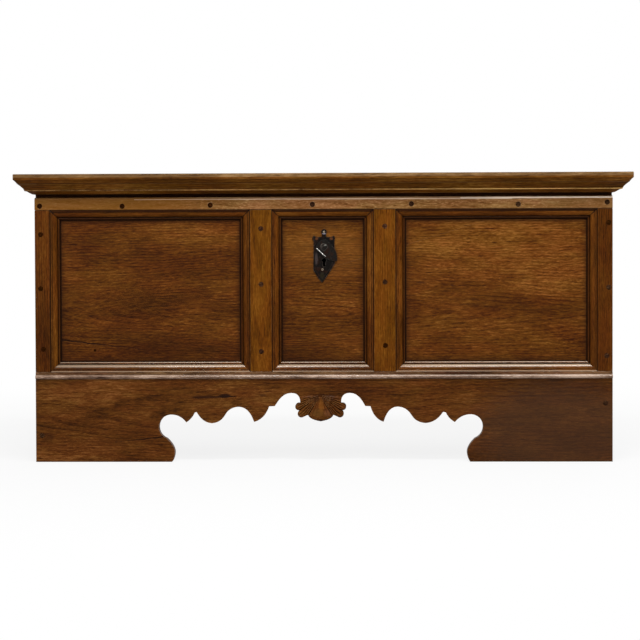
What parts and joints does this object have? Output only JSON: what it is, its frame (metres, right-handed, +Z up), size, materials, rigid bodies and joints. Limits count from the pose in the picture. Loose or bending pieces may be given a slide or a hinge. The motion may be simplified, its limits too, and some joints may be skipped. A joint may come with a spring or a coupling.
{
  "type": "mule chest",
  "caption": "Low boarded oak chest with a hinged overhanging lid, three moulded front panels, a scalloped carved apron on bracket feet, an inside lock and a swinging keyhole cover.",
  "frame": {"origin": "middle of the floor under the chest: the bottom centre of its bounding box", "axes": "+X along the chest's length to the viewer's right, the front faces -Y, +Z up"},
  "size_m": [1.468, 0.6134, 0.689],
  "materials": {
    "oak_dark": "satin, old waxed oak",
    "oak_panel": "satin, old waxed oak",
    "oak_golden": "polished, worn oak",
    "oak_orange": "satin, old waxed oak",
    "oak_inside": "dry, unpolished oak",
    "peg_wood": "dark end grain",
    "iron": "forged, blackened and rubbed bright on edges"
  },
  "bodies": {
    "carcase": {"plinth_board": "oak_dark", "base_bead": "oak_golden", "front_board": "oak_panel", "top_rail": "oak_golden", "left_stile": "oak_orange", "right_stile": "oak_orange", "left_muntin": "oak_orange", "right_muntin": "oak_orange", "left_panel_bottom_moulding": "oak_orange", "left_panel_right_moulding": "oak_orange", "left_panel_top_moulding": "oak_orange", "left_panel_left_moulding": "oak_orange", "centre_panel_bottom_moulding": "oak_orange", "centre_panel_right_moulding": "oak_orange", "centre_panel_top_moulding": "oak_orange", "centre_panel_left_moulding": "oak_orange", "right_panel_bottom_moulding": "oak_orange", "right_panel_right_moulding": "oak_orange", "right_panel_top_moulding": "oak_orange", "right_panel_left_moulding": "oak_orange", "left_end_board": "oak_panel", "right_end_board": "oak_panel", "lower_back_board": "oak_inside", "upper_back_board": "oak_inside", "front_floor_board": "oak_inside", "back_floor_board": "oak_inside", "left_floor_cleat": "oak_inside", "right_floor_cleat": "oak_inside", "rail_peg_1": "peg_wood", "rail_peg_2": "peg_wood", "rail_peg_3": "peg_wood", "rail_peg_4": "peg_wood", "rail_peg_5": "peg_wood", "rail_peg_6": "peg_wood", "rail_peg_7": "peg_wood", "left_hinge_plate": "iron", "right_hinge_plate": "iron", "left_hinge_pin": "iron", "right_hinge_pin": "iron", "escutcheon": "iron", "escutcheon_top_nail": "iron", "escutcheon_bottom_nail": "iron", "cover_rivet": "iron", "lock_plate": "iron", "bolt_spring": "iron", "lock_cover": "iron"},
    "lid": {"lid_front_board": "oak_dark", "lid_middle_board": "oak_dark", "lid_back_board": "oak_dark", "front_cornice": "oak_dark", "left_cornice": "oak_dark", "right_cornice": "oak_dark", "left_lid_batten": "oak_dark", "right_lid_batten": "oak_dark", "left_hinge_strap": "iron", "right_hinge_strap": "iron", "lid_staple": "iron"},
    "cover": {"keyhole_cover": "iron"},
    "bolt": {"lock_bolt": "iron"}
  },
  "joints": [
    {"name": "lid_hinge", "type": "hinge", "parent": "carcase", "child": "lid", "pos_m": [0, 0.30225, 0.6652], "axis": [-1, 0, 0], "range_deg": [0, 100]},
    {"name": "cover_pivot", "type": "hinge", "parent": "carcase", "child": "cover", "pos_m": [0.003, -0.25015, 0.514], "axis": [0, -1, 0], "range_deg": [-97, 38]},
    {"name": "bolt_slide", "type": "slide", "parent": "carcase", "child": "bolt", "axis": [1, 0, 0], "range_m": [0, 0.014]}
  ]
}
